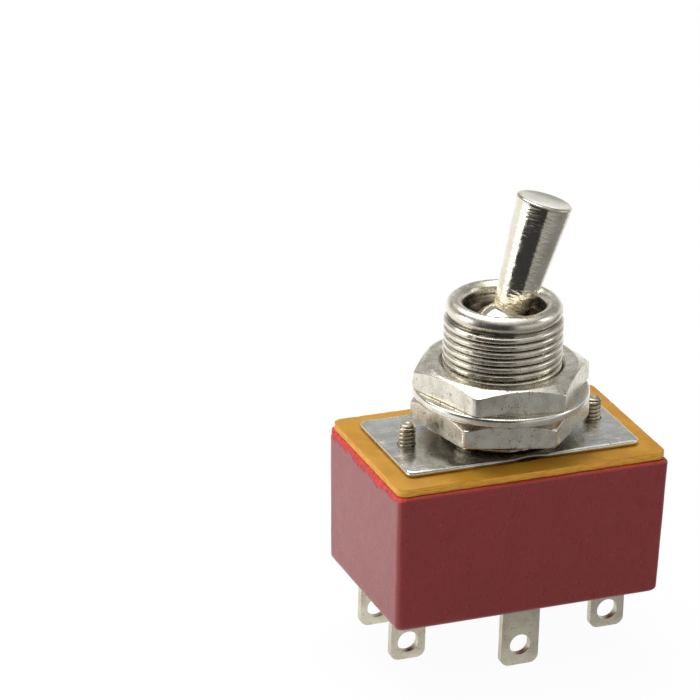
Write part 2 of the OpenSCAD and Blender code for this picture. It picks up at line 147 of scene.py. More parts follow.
def leaning(grid):
    """Points drawn upright about the lever pivot, put at the rest lean."""
    x, y, z = grid[..., 0], grid[..., 1], grid[..., 2]
    c, s = math.cos(LEAN), math.sin(LEAN)
    return np.stack([x * c + z * s, y, -x * s + z * c + PIVOT_Z], axis=-1)


def arc(cx, cz, r, start, end, steps):
    """Points (radius, height) along an arc, angles in degrees."""
    return [(cx + r * math.cos(math.radians(a)), cz + r * math.sin(math.radians(a)))
            for a in np.linspace(start, end, steps)]


def rounded_outline(length, width, corner, step=0.25, corner_steps=8):
    """Points of a rounded rectangle, the same count for any size near this one."""
    along, across = max(2, round(29 / step)), max(2, round(18 / step))
    hx, hy, r = length / 2, width / 2, corner
    points = []
    corners = ((0, (hx - r, hy - r), along), (90, (-hx + r, hy - r), across),
               (180, (-hx + r, -hy + r), along), (270, (hx - r, -hy + r), across))
    for turn, (cx, cy), count in corners:
        for i in range(corner_steps + 1):
            a = math.radians(turn + 90 * i / corner_steps)
            points.append((cx + r * math.cos(a), cy + r * math.sin(a)))
        end_a = math.radians(turn + 90)
        x0, y0 = cx + r * math.cos(end_a), cy + r * math.sin(end_a)
        span = (2 * (hx - r), 2 * (hy - r))[turn in (90, 270)]
        dx, dy = -math.sin(end_a), math.cos(end_a)
        for i in range(1, count):
            points.append((x0 + dx * span * i / count, y0 + dy * span * i / count))
    return np.array(points)


def cylinder_cutter(x, y, z0, z1, r0, r1=None, sides=48, axis="Z"):
    """A cylinder or cone for cutting, as an object that is deleted after use."""
    r1 = r0 if r1 is None else r1
    grid = turned_grid([r0, r1], [z0, z1], sides)
    if axis == "Y":
        grid = grid[..., [0, 2, 1]]
    grid = grid + np.array([x, y, 0.0])
    return ring_object("cutter", grid, caps=True)


def box_cutter(x0, x1, y0, y1, z0, z1):
    verts = [(x, y, z) for z in (z0, z1) for y in (y0, y1) for x in (x0, x1)]
    faces = [(0, 2, 3, 1), (4, 5, 7, 6), (0, 1, 5, 4), (2, 6, 7, 3), (0, 4, 6, 2), (1, 3, 7, 5)]
    return make_object("cutter", verts, faces)


def cut_away(obj, cutters, smooth_angle=35):
    """Subtracts the cutters from obj and deletes them."""
    for cutter in cutters:
        modifier = obj.modifiers.new("cut", "BOOLEAN")
        modifier.operation = "DIFFERENCE"
        modifier.solver = "EXACT"
        modifier.object = cutter
    apply_modifiers(obj)
    for cutter in cutters:
        bpy.data.objects.remove(cutter)
    finish_mesh(obj, smooth_angle)


def apply_modifiers(obj):
    bpy.context.view_layer.update()
    graph = bpy.context.evaluated_depsgraph_get()
    mesh = bpy.data.meshes.new_from_object(obj.evaluated_get(graph))
    obj.modifiers.clear()
    obj.data = mesh


def dressed_copy(node, bevel, segments=2, wobble=0.0):
    """A copy of a CAD node with welded vertices, flat faces joined and soft edges."""
    obj = bpy.data.objects.new(node + "_dressed", NODES[node].data.copy())
    CLEAN_COLLECTION.objects.link(obj)
    bm = bmesh.new()
    bm.from_mesh(obj.data)
    bmesh.ops.remove_doubles(bm, verts=bm.verts, dist=2e-6)
    bmesh.ops.dissolve_limit(bm, angle_limit=math.radians(1), verts=bm.verts, edges=bm.edges)
    sharp = [e for e in bm.edges if len(e.link_faces) == 2
             and e.calc_face_angle(0) > math.radians(30)]
    bmesh.ops.bevel(bm, geom=sharp, offset=bevel * MM, segments=segments, affect="EDGES",
                    profile=0.6, clamp_overlap=True)
    if wobble:
        bmesh.ops.triangulate(bm, faces=bm.faces)
        for v in bm.verts:
            shift = noise.noise_vector(v.co / (0.9 * MM))
            v.co += shift * wobble * MM
    bm.to_mesh(obj.data)
    bm.free()
    finish_mesh(obj, 40)
    return obj


def place(obj, body, node=None, slot=None, material=None):
    """Rides obj on its body, lets it stand for its CAD node and gives it a material."""
    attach(obj, body)
    if node:
        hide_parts(node)
    if material:
        obj.data.materials.clear()
        obj.data.materials.append(material)
    return obj


# ---------------------------------------------------------------- material helpers
class Graph:
    """A small builder for node materials."""

    def __init__(self, name):
        self.material = bpy.data.materials.new(name)
        self.material.use_nodes = True
        self.tree = self.material.node_tree
        self.tree.nodes.clear()
        self.output = self.tree.nodes.new("ShaderNodeOutputMaterial")
        self.shader = self.tree.nodes.new("ShaderNodeBsdfPrincipled")
        self.link(self.shader.outputs[0], self.output.inputs["Surface"])
        self.coord = self.tree.nodes.new("ShaderNodeTexCoord").outputs["Object"]

    def link(self, a, b):
        self.tree.links.new(a, b)

    def set(self, **values):
        for key, value in values.items():
            self.shader.inputs[key.replace("_", " ")].default_value = value

    def feed(self, socket, value):
        """Puts a number, colour or node output into a socket."""
        if isinstance(value, bpy.types.NodeSocket):
            self.link(value, socket)
        else:
            socket.default_value = value

    def scaled(self, scale):
        """Object coordinates times scale, in units of 1/mm times that scale."""
        node = self.tree.nodes.new("ShaderNodeMapping")
        self.link(self.coord, node.inputs["Vector"])
        node.inputs["Scale"].default_value = [1000 * s for s in scale]
        return node.outputs[0]

    def noise(self, scale, detail=3, rough=0.55, distortion=0.0):
        """Noise from 0 to 1; scale is cycles per mm, one number or three."""
        scale = scale if hasattr(scale, "__len__") else (scale,) * 3
        node = self.tree.nodes.new("ShaderNodeTexNoise")
        self.link(self.scaled(scale), node.inputs["Vector"])
        node.inputs["Scale"].default_value = 1
        node.inputs["Detail"].default_value = detail
        node.inputs["Roughness"].default_value = rough
        node.inputs["Distortion"].default_value = distortion
        return node.outputs["Fac"]

    def remap(self, value, low, high, to_low=0.0, to_high=1.0):
        node = self.tree.nodes.new("ShaderNodeMapRange")
        node.interpolation_type = "SMOOTHSTEP"
        self.feed(node.inputs["Value"], value)
        for key, v in (("From Min", low), ("From Max", high), ("To Min", to_low),
                       ("To Max", to_high)):
            self.feed(node.inputs[key], v)
        return node.outputs[0]

    def math(self, operation, a, b=0.0, clamp=False):
        node = self.tree.nodes.new("ShaderNodeMath")
        node.operation = operation
        node.use_clamp = clamp
        self.feed(node.inputs[0], a)
        self.feed(node.inputs[1], b)
        return node.outputs[0]

    def vector_math(self, operation, a, b=None, out="Vector"):
        node = self.tree.nodes.new("ShaderNodeVectorMath")
        node.operation = operation
        self.feed(node.inputs[0], a)
        if b is not None:
            self.feed(node.inputs[1], b)
        return node.outputs[out]

    def mix(self, factor, a, b):
        """Colour mix of a and b by factor."""
        node = self.tree.nodes.new("ShaderNodeMix")
        node.data_type = "RGBA"
        self.feed(node.inputs["Factor"], factor)
        self.feed(node.inputs[6], a)
        self.feed(node.inputs[7], b)
        return node.outputs[2]

    def axis(self, index):
        """One coordinate of the point, in mm."""
        node = self.tree.nodes.new("ShaderNodeSeparateXYZ")
        self.link(self.scaled((1, 1, 1)), node.inputs[0])
        return node.outputs[index]

    def normal_axis(self, index):
        node = self.tree.nodes.new("ShaderNodeSeparateXYZ")
        geometry = self.tree.nodes.new("ShaderNodeNewGeometry")
        self.link(geometry.outputs["Normal"], node.inputs[0])
        return node.outputs[index]

    def attribute(self, name):
        node = self.tree.nodes.new("ShaderNodeAttribute")
        node.attribute_name = name
        return node.outputs["Fac"]

    def stroke(self, start, end, width):
        """1 on a line between two points in mm, 0 beyond width from it."""
        a = Vector(start)
        along = Vector(end) - a
        point = self.vector_math("SUBTRACT", self.scaled((1, 1, 1)), tuple(a))
        share = self.vector_math("DOT_PRODUCT", point, tuple(along / along.length_squared),
                                 out="Value")
        share = self.math("MULTIPLY", share, 1.0, clamp=True)
        scale = self.tree.nodes.new("ShaderNodeVectorMath")
        scale.operation = "SCALE"
        scale.inputs[0].default_value = tuple(along)
        self.link(share, scale.inputs["Scale"])
        offset = self.vector_math("SUBTRACT", point, scale.outputs[0])
        distance = self.vector_math("LENGTH", offset, out="Value")
        return self.remap(distance, 0.3 * width, width, 1.0, 0.0)

    def combine(self, masks):
        """The largest of several masks."""
        result = masks[0]
        for mask in masks[1:]:
            result = self.math("MAXIMUM", result, mask)
        return result

    def bump(self, height, strength, distance_mm=0.05):
        node = self.tree.nodes.new("ShaderNodeBump")
        self.feed(node.inputs["Height"], height)
        node.inputs["Strength"].default_value = strength
        node.inputs["Distance"].default_value = distance_mm * MM
        return node.outputs[0]


def rgba(r, g, b):
    return (r, g, b, 1.0)


def metal(name, light, dark, rough=(0.16, 0.34), grain=(6, 6, 6), pits=0.0, bump=0.25,
          smudge=0.6):
    """Plated metal: two tones in clouds, uneven gloss, fine grain and dark pits."""
    g = Graph(name)
    clouds = g.remap(g.noise(smudge, 5, 0.6), 0.35, 0.7)
    colour = g.mix(clouds, rgba(*light), rgba(*dark))
    fine = g.noise(grain, 4, 0.6)
    gloss = g.remap(g.noise(1.7 * smudge, 6, 0.65), 0.3, 0.75, *rough)
    if pits:
        spots = g.math("MULTIPLY", g.remap(g.noise(1.6, 2, 0.5), 0.45, 0.62),
                       g.remap(g.noise(6.5, 2, 0.5), 0.58, 0.66))
        spots = g.math("MULTIPLY", spots, pits)
        colour = g.mix(spots, colour, rgba(0.05, 0.045, 0.035))
        gloss = g.math("ADD", gloss, g.math("MULTIPLY", spots, 0.3))
    g.link(colour, g.shader.inputs["Base Color"])
    g.link(gloss, g.shader.inputs["Roughness"])
    g.link(g.bump(fine, bump, 0.02), g.shader.inputs["Normal"])
    g.set(Metallic=1.0)
    return g.material


# ---------------------------------------------------------------- materials
def housing_material():
    g = Graph("red_moulding")
    chip = g.attribute("chip")
    swirl = g.noise((0.5, 0.5, 0.4), 4, 0.5, 0.3)
    colour = g.mix(g.remap(swirl, 0.3, 0.72), rgba(0.222, 0.012, 0.012), rgba(0.234, 0.014, 0.013))
    specks = g.remap(g.noise(3.4, 2, 0.5), 0.68, 0.74)
    colour = g.mix(g.math("MULTIPLY", specks, 0.35), colour, rgba(0.33, 0.05, 0.05))
    dark_marks = g.combine([
        g.stroke((-14.4, 2.93, -3.3), (-14.4, 2.67, -4.45), 0.07),
        g.stroke((-14.3, 2.95, -14.7), (-14.3, 1.2, -12.1), 0.07),
        g.stroke((-14.3, 3.2, -13.2), (-14.3, 2.2, -14.2), 0.05),
        g.stroke((8.1, -9.2, -2.95), (8.2, -9.2, -3.05), 0.13),
    ])
    light_marks = g.combine([
        g.stroke((-14.35, -8.9, -11.1), (-13.7, -9.2, -11.2), 0.08),
        g.stroke((-10.2, -9.2, -4.85), (-10.0, -9.2, -4.75), 0.09),
        g.stroke((-6.2, -9.2, -12.4), (-4.9, -9.2, -12.9), 0.04),
    ])
    colour = g.mix(g.math("MULTIPLY", dark_marks, 0.75), colour, rgba(0.04, 0.004, 0.005))
    colour = g.mix(g.math("MULTIPLY", light_marks, 0.5), colour, rgba(0.55, 0.16, 0.15))
    crumbs = g.mix(g.remap(g.noise(2.5, 4, 0.6), 0.35, 0.65), rgba(0.74, 0.032, 0.022),
                   rgba(0.42, 0.012, 0.010))
    colour = g.mix(chip, colour, crumbs)
    g.link(colour, g.shader.inputs["Base Color"])
    gloss = g.remap(g.noise((1.1, 1.1, 0.7), 4, 0.6), 0.3, 0.7, 0.26, 0.33)
    gloss = g.math("ADD", gloss, g.math("MULTIPLY", chip, 0.35))
    g.link(gloss, g.shader.inputs["Roughness"])
    skin = g.math("ADD", g.math("MULTIPLY", g.noise(4.5, 3, 0.5), 0.35),
                  g.noise((1.1, 1.1, 0.9), 3, 0.5))
    skin = g.math("SUBTRACT", skin, g.math("MULTIPLY", dark_marks, 2.0))
    rough_break = g.math("MULTIPLY", g.noise(5.0, 5, 0.7), chip)
    skin = g.math("ADD", skin, g.math("MULTIPLY", rough_break, 9.0))
    g.link(g.bump(skin, 0.06, 0.05), g.shader.inputs["Normal"])
    g.set(IOR=1.6)
    return g.material


def laminate_material():
    g = Graph("laminate")
    fibres = g.noise((1.6, 9.0, 9.0), 5, 0.65)
    mottling = g.remap(g.noise(0.35, 4, 0.6), 0.3, 0.7)
    top = g.mix(mottling, rgba(0.54, 0.27, 0.020), rgba(0.44, 0.20, 0.012))
    top = g.mix(g.math("MULTIPLY", g.remap(fibres, 0.45, 0.75), 0.35), top, rgba(0.60, 0.33, 0.045))
    side = g.math("SUBTRACT", 1.0, g.math("ABSOLUTE", g.normal_axis(2)))
    edge = g.remap(side, 0.35, 0.75)
    layers = g.remap(g.noise((0.8, 0.8, 6.0), 4, 0.6), 0.35, 0.65)
    rim = g.mix(layers, rgba(0.57, 0.27, 0.025), rgba(0.74, 0.38, 0.050))
    colour = g.mix(edge, top, rim)
    g.link(colour, g.shader.inputs["Base Color"])
    g.link(g.remap(fibres, 0.3, 0.7, 0.42, 0.62), g.shader.inputs["Roughness"])
    g.link(g.bump(fibres, 0.3, 0.05), g.shader.inputs["Normal"])
    g.set(IOR=1.3)
    return g.material


def bushing_material():
    """The plated bushing, with painted shade inside the socket and in the thread roots."""
    g = Graph("nickel_bushing")
    flat = g.vector_math("MULTIPLY", g.scaled((1, 1, 1)), (1.0, 1.0, 0.0))
    radius = g.vector_math("LENGTH", flat, out="Value")
    clouds = g.remap(g.noise(0.6, 5, 0.6), 0.35, 0.7)
    colour = g.mix(clouds, rgba(0.74, 0.70, 0.61), rgba(0.60, 0.56, 0.47))
    # socket: painted shade on the bore's wall below the rim, where the mouth lies in shade
    socket = g.math("MULTIPLY", g.remap(radius, 3.9, 4.35, 1.0, 0.0),
                    g.remap(g.axis(2), 12.1, 12.6, 1.0, 0.0))
    # painted shade darkening the thread roots below the rim
    root_shade = g.math("MULTIPLY", g.remap(radius, 5.60, 5.78, 1.0, 0.0),
                   g.remap(g.axis(2), 12.7, 12.9, 1.0, 0.0))
    spots = g.math("MULTIPLY", g.remap(g.noise(2.6, 2, 0.5), 0.60, 0.70),
                   g.remap(g.noise(6.0, 2, 0.5), 0.48, 0.60))
    # painted shade in the thread roots
    colour = g.mix(g.math("MULTIPLY", root_shade, 0.72), colour, rgba(0.10, 0.085, 0.06))
    colour = g.mix(g.math("MULTIPLY", spots, 0.6), colour, rgba(0.07, 0.05, 0.035))
    # painted shade inside the socket
    colour = g.mix(socket, colour, rgba(0.055, 0.042, 0.028))
    g.link(colour, g.shader.inputs["Base Color"])
    g.link(g.remap(g.noise(1.1, 5, 0.6), 0.3, 0.75, 0.20, 0.36), g.shader.inputs["Roughness"])
    g.link(g.bump(g.noise(6.0, 4, 0.6), 0.25, 0.02), g.shader.inputs["Normal"])
    g.set(Metallic=1.0)
    return g.material


def plate_material():
    """The plated steel cover: scratched, and darkened round the nut with painted shade that stands
    in for the nut's dark reflection.
    """
    g = Graph("plated_steel")
    flat = g.vector_math("MULTIPLY", g.scaled((1, 1, 1)), (1.0, 1.0, 0.0))
    radius = g.vector_math("LENGTH", flat, out="Value")
    # painted shade: a dark ring round the nut, in place of the nut's dark reflection in the plate
    edge = g.math("ADD", radius, g.math("MULTIPLY", g.noise(0.4, 4, 0.6), 3.0))
    painted_nut_shade = g.remap(edge, 7.8, 10.6, 1.0, 0.0)
    clouds = g.remap(g.noise(0.35, 5, 0.6), 0.35, 0.7)
    colour = g.mix(clouds, rgba(0.74, 0.74, 0.70), rgba(0.60, 0.60, 0.56))
    # painted shade round the nut
    colour = g.mix(g.math("MULTIPLY", painted_nut_shade, 0.85), colour, rgba(0.11, 0.092, 0.062))
    scratch_grain = g.remap(g.noise((0.5, 14.0, 1.0), 3, 0.5, 0.4), 0.62, 0.70)
    cross_grain = g.remap(g.noise((11.0, 0.6, 1.0), 3, 0.5, 0.4), 0.66, 0.72)
    lines = g.math("MAXIMUM", scratch_grain, cross_grain)
    colour = g.mix(g.math("MULTIPLY", lines, 0.30), colour, rgba(0.90, 0.90, 0.87))
    pits = g.math("MULTIPLY", g.remap(g.noise(3.2, 2, 0.5), 0.62, 0.70),
                  g.remap(g.noise(7.5, 2, 0.5), 0.5, 0.6))
    colour = g.mix(g.math("MULTIPLY", pits, 0.6), colour, rgba(0.08, 0.07, 0.05))
    g.link(colour, g.shader.inputs["Base Color"])
    gloss = g.remap(g.noise(0.5, 5, 0.6), 0.3, 0.75, 0.17, 0.30)
    g.link(g.math("ADD", gloss, g.math("MULTIPLY", lines, 0.12)), g.shader.inputs["Roughness"])
    burr = g.combine([g.stroke((-1.6, -5.8, 0), (0.7, -6.2, 0), 0.16),
                      g.stroke((0.7, -6.2, 0), (3.0, -6.4, 0), 0.16),
                      g.stroke((-9.5, 4.6, 0), (-6.9, 5.9, 0), 0.07),
                      g.stroke((7.0, -5.2, 0), (11.5, -4.4, 0), 0.06),
                      g.stroke((6.4, -4.2, 0), (10.8, -5.6, 0), 0.05)])
    height = g.math("SUBTRACT", g.math("MULTIPLY", g.noise(0.8, 3, 0.5), 1.2),
                    g.math("MULTIPLY", lines, 0.4))
    height = g.math("ADD", height, g.math("MULTIPLY", burr, 1.5))
    g.link(g.bump(height, 0.16, 0.05), g.shader.inputs["Normal"])
    g.set(Metallic=1.0)
    return g.material


def lever_material():
    """Nickel plate over fine turning lines square to the handle's own axis."""
    g = Graph("nickel_lever")
    along = g.vector_math("DOT_PRODUCT", g.scaled((1, 1, 1)),
                          (math.sin(LEAN), 0.0, math.cos(LEAN)), out="Value")
    lines = g.tree.nodes.new("ShaderNodeTexNoise")
    lines.noise_dimensions = "1D"
    g.link(along, lines.inputs["W"])
    lines.inputs["Scale"].default_value = 7.0
    lines.inputs["Detail"].default_value = 5
    lines.inputs["Roughness"].default_value = 0.7
    clouds = g.remap(g.noise(0.5, 4, 0.6), 0.35, 0.7)
    colour = g.mix(clouds, rgba(0.69, 0.66, 0.57), rgba(0.58, 0.54, 0.44))
    g.link(colour, g.shader.inputs["Base Color"])
    g.link(g.remap(g.noise(1.2, 5, 0.6), 0.3, 0.7, 0.10, 0.20), g.shader.inputs["Roughness"])
    g.link(g.bump(lines.outputs["Fac"], 0.35, 0.02), g.shader.inputs["Normal"])
    g.set(Metallic=1.0)
    return g.material


MATERIALS = {
    "red_moulding": housing_material(),
    "laminate": laminate_material(),
    "plated_steel": plate_material(),
    "nickel_bushing": bushing_material(),
    "nickel_nut": metal("nickel_nut", (0.74, 0.71, 0.62), (0.57, 0.53, 0.44),
                        rough=(0.20, 0.36), pits=0.85, bump=0.35),
    "nickel_washer": metal("nickel_washer", (0.76, 0.73, 0.65), (0.62, 0.58, 0.50),
                           rough=(0.18, 0.32), pits=0.3),
    "screw_steel": metal("screw_steel", (0.56, 0.50, 0.38), (0.34, 0.30, 0.22),
                         rough=(0.22, 0.40), pits=0.4),
    "nickel_lever": lever_material(),
    "pin_steel": metal("pin_steel", (0.60, 0.60, 0.60), (0.50, 0.50, 0.49)),
    "spring_steel": metal("spring_steel", (0.52, 0.53, 0.55), (0.40, 0.41, 0.43)),
    "bronze": metal("bronze", (0.78, 0.52, 0.27), (0.62, 0.38, 0.18), rough=(0.2, 0.4)),
    "tinned_brass": metal("tinned_brass", (0.70, 0.65, 0.53), (0.58, 0.53, 0.41),
                          rough=(0.30, 0.50), grain=(5, 5, 2), pits=0.5),
    "silver": metal("silver", (0.86, 0.85, 0.82), (0.74, 0.72, 0.68)),
}


def insulator_material():
    g = Graph("insulator")
    colour = g.mix(g.remap(g.noise(0.8, 4), 0.35, 0.65), rgba(0.70, 0.64, 0.48),
                   rgba(0.62, 0.55, 0.40))
    g.link(colour, g.shader.inputs["Base Color"])
    g.link(g.remap(g.noise(2.0, 3), 0.3, 0.7, 0.35, 0.5), g.shader.inputs["Roughness"])
    g.link(g.bump(g.noise(5.0, 3), 0.15, 0.03), g.shader.inputs["Normal"])
    return g.material


MATERIALS["insulator"] = insulator_material()


# ---------------------------------------------------------------- housing
def chip_depth(y, z):
    """How far the broken top edge of the -X end goes in, and how much of it is broken."""
    reach = 0.88 + 0.50 * noise.noise(Vector((y * 0.45, 3.1, 0.0)))
    reach += 0.30 * noise.noise(Vector((y * 1.9, 7.7, 0.0)))
    reach += 0.10 * noise.noise(Vector((y * 6.0, 1.7, 0.0)))
    reach *= 0.35 + 0.65 * max(0.0, min(1.0, (y + 9.3) / 3.5))
    below = HOUSING_Z[1] - z
    inside = max(0.0, min(1.0, (reach - below) / 0.12))
    grit = 0.10 + 0.09 * noise.noise(Vector((y * 3.0, z * 3.0, 2.0)))
    grit += 0.05 * noise.noise(Vector((y * 9.0, z * 9.0, 5.0)))
    return inside * grit, inside


def cavity_cutters(low, top):
    """Cutters for the cavity, the screw holes and the slots that the tabs pass through."""
    cutters = [box_cutter(-CAVITY_X, CAVITY_X, -CAVITY_Y[1], CAVITY_Y[1], FLOOR_Z, top + 1)]

    def side_box(x0, x1, side, y0, y1, z0, z1):
        cutters.append(box_cutter(x0, x1, *sorted((side * y0, side * y1)), z0, z1))

    for s in (-1, 1):
        side_box(-END_CAVITY_X, END_CAVITY_X, s, *CAVITY_Y, FLOOR_Z, top + 1)
        x = s * SCREW_X
        cutters.append(cylinder_cutter(x, 0, FLOOR_Z + 5, top + 1, SCREW_SHAFT_R))
        cutters.append(cylinder_cutter(x, 0, low - 1, SCREW_SEAT, SCREW_HEAD_R))
        cutters.append(cylinder_cutter(x, 0, low - 0.25, low + 0.25, SCREW_HEAD_R + 0.5,
                                       SCREW_HEAD_R))
        side_box(-MID_TAB_W / 2 - 0.1, MID_TAB_W / 2 + 0.1, s, MID_TAB_Y - SLOT_HALF,
                 MID_TAB_Y + SLOT_HALF, low - 1, FLOOR_Z + 0.01)
        for t in (-1, 1):
            x = t * END_TAB_X
            side_box(x - END_TAB_W / 2 - 0.1, x + END_TAB_W / 2 + 0.1, s,
                     END_ROOT_Y - SLOT_HALF, END_ROOT_Y + SLOT_HALF, low - 1, FLOOR_Z + 0.01)
            for e in (-1, 1):
                pocket = x + e * (END_TAB_W / 2 + 0.05)
                side_box(pocket - 0.35, pocket + 0.35, s, END_ROOT_Y - 0.65,
                         END_ROOT_Y + 0.65, low - 0.6, low + 0.6)
    return cutters


def build_housing():
    low, top = HOUSING_Z
    foot, lip = 0.6, 0.25
    levels = [(top, lip), (top - 0.04, 0.14), (top - 0.12, 0.05), (top - lip, 0.0)]
    levels += [(z, 0.0) for z in np.arange(top - 0.35, top - 1.8, -0.1)]
    levels += [(z, 0.0) for z in np.linspace(top - 1.9, low + foot, 22)]
    levels += [(low + foot * (1 - math.sin(a)), foot * (1 - math.cos(a)))
               for a in np.radians([15, 30, 45, 60, 75, 90])]
    rows, chips = [], []
    for z, inset in levels:
        lean_in = HOUSING_DRAFT * max(0.0, (top - z) / (top - low))
        shrink = 2 * (inset + lean_in)
        ring = rounded_outline(HOUSING_SIZE[0] - shrink, HOUSING_SIZE[1] - shrink,
                               HOUSING_CORNER, step=0.2)
        points = np.column_stack([ring, np.full(len(ring), z)])
        broken = np.zeros(len(ring))
        for i, (x, y, _) in enumerate(points):
            wave = 0.02 * noise.noise(Vector((x * 0.3, y * 0.3, z * 0.3)))
            points[i, 0] += wave * np.sign(x) * (abs(x) > 14)
            points[i, 1] += wave * np.sign(y) * (abs(y) > 9)
            if x < -13.9:
                depth, broken[i] = chip_depth(y, z)
                points[i, 0] += depth
            elif y < -9.0 and z > top - 0.17:
                broken[i] = 0.5
        rows.append(points)
        chips.append(broken)
    obj = ring_object("housing_shell", np.array(rows), caps=True, smooth_angle=50)
    # the mesh keeps the grid's vertex order, so the mask goes on by index
    mask = obj.data.attributes.new("chip", "FLOAT", "POINT")
    mask.data.foreach_set("value", np.concatenate(chips))
    cut_away(obj, cavity_cutters(low, top), 45)
    place(obj, "base", "housing", "red_moulding", MATERIALS["red_moulding"])


def build_tab_numbers():
    """Raised numbers beside the tabs on the underside, 1 to 3 in front and 4 to 6 behind."""
    spots = {1: (-END_TAB_X, -7.1), 2: (3.4, -MID_TAB_Y), 3: (END_TAB_X, -7.1),
             4: (-END_TAB_X, 7.1), 5: (3.4, MID_TAB_Y), 6: (END_TAB_X, 7.1)}
    for number, (x, y) in spots.items():
        curve = bpy.data.curves.new(f"number_{number}", "FONT")
        curve.body = str(number)
        curve.size = 1.9 * MM
        curve.extrude = 0.08 * MM
        curve.bevel_depth = 0.03 * MM
        curve.align_x = "CENTER"
        curve.align_y = "CENTER"
        text = bpy.data.objects.new(f"number_{number}", curve)
        CLEAN_COLLECTION.objects.link(text)
        # read from below, with the front row at the reader's side
        turn = Matrix.Rotation(math.pi, 4, "X")
        text.matrix_world = Matrix.Translation(Vector((x, y, HOUSING_Z[0] - 0.03)) * MM) @ turn
        bpy.context.view_layer.update()
        graph = bpy.context.evaluated_depsgraph_get()
        mesh = bpy.data.meshes.new_from_object(text.evaluated_get(graph))
        mesh.transform(text.matrix_world)
        bpy.data.objects.remove(text)
        obj = bpy.data.objects.new(f"number_{number}", mesh)
        CLEAN_COLLECTION.objects.link(obj)
        finish_mesh(obj, 30)
        place(obj, "base", None, "red_moulding", MATERIALS["red_moulding"])


# ---------------------------------------------------------------- sheet and plate
def soft_slab(name, outline, z0, z1, soft, steps=3):
    """A slab from an outline with rounded top and bottom edges. outline(inset) gives points."""
    rows = []
    bends = [math.radians(a) for a in np.linspace(0, 90, steps + 1)]
    for a in bends:
        rows.append((outline(soft * (1 - math.sin(a))), z0 + soft * (1 - math.cos(a))))
    for a in reversed(bends):
        rows.append((outline(soft * (1 - math.sin(a))), z1 - soft * (1 - math.cos(a))))
    grid = np.array([np.column_stack([ring, np.full(len(ring), z)]) for ring, z in rows])
    return ring_object(name, grid, caps=True, smooth_angle=50)


def build_sheet():
    length, width = SHEET_SIZE

    def outline(inset):
        ring = rounded_outline(length - 2 * inset, width - 2 * inset, 0.9 - 0.5 * inset)
        for i, (x, y) in enumerate(ring):
            fray = 0.05 * noise.noise(Vector((x * 1.6, y * 1.6, 0.0)))
            fray += 0.03 * noise.noise(Vector((x * 5.0, y * 5.0, 3.0)))
            ring[i] -= fray * np.array([np.sign(x) * (abs(x) > 14), np.sign(y) * (abs(y) > 8.6)])
        return ring

    obj = soft_slab("sheet_slab", outline, *SHEET_Z, 0.10)
    holes = [cylinder_cutter(0, 0, SHEET_Z[0] - 1, SHEET_Z[1] + 1, 6.5, sides=96)]
    holes += [cylinder_cutter(s * SCREW_X, 0, SHEET_Z[0] - 1, SHEET_Z[1] + 1, SCREW_SHAFT_R)
              for s in (-1, 1)]
    cut_away(obj, holes, 45)
    place(obj, "base", "insulating_sheet", "laminate", MATERIALS["laminate"])


def build_plate():
    length, width = PLATE_SIZE
    dent_r, dent_depth, dent_x = 5.0, 0.3, 0.6

    def outline(inset):
        ring = rounded_outline(length - 2 * inset, width - 2 * inset, 0.8 - 0.5 * inset)
        centre = np.array([dent_x, -width / 2 - dent_r + dent_depth])
        for i, point in enumerate(ring):
            away = point - centre
            gap = np.linalg.norm(away)
            reach = dent_r + inset
            if gap < reach and abs(away[0]) < dent_r:
                ring[i, 1] = centre[1] + math.sqrt(reach ** 2 - away[0] ** 2)
            x, y = ring[i]
            ring[i, 1] += 0.05 * noise.noise(Vector((x * 0.25, 5.0 * np.sign(y), 0.0)))
        return ring

    obj = soft_slab("plate_slab", outline, *PLATE_Z, 0.27, steps=5)
    holes = [cylinder_cutter(0, 0, PLATE_Z[0] - 1, PLATE_Z[1] + 1, 5.65, sides=96)]
    holes += [cylinder_cutter(x, 0, PLATE_Z[0] - 1, PLATE_Z[1] + 1, SCREW_HOLE_R)
              for x in SCREW_PLACES]
    cut_away(obj, holes, 45)
    place(obj, "base", "mounting_plate", "plated_steel", MATERIALS["plated_steel"])


# ---------------------------------------------------------------- bushing
def thread_rows(z0, z1, crest, root, pitch, cols, per_pitch=10, fade=0.35, wear=0.0):
    """Radii and heights of a screw thread, one row for each step of height."""
    count = max(2, round((z1 - z0) / pitch * per_pitch))
    heights = np.linspace(z0, z1, count)
    turn = np.arange(cols) / cols
    phase = (heights[:, None] / pitch - turn[None, :]) % 1.0
    ridge = np.clip((1 - np.abs(2 * phase - 1) - 0.06) / 0.62, 0, 1)
    ridge = 1 - (1 - ridge) ** 2.2
    ends = np.clip(np.minimum(heights - z0, z1 - heights) / fade, 0, 1)[:, None]
    radii = root + (crest - root) * ridge * ends
    if wear:
        for i, z in enumerate(heights):
            for j in range(cols):
                a = 2 * math.pi * j / cols
                knock = noise.noise(Vector((6 * math.cos(a), 6 * math.sin(a), z * 1.3)))
                radii[i, j] -= wear * max(0.0, knock - 0.2) * ridge[i, j]
    return radii, np.repeat(heights[:, None], cols, axis=1)


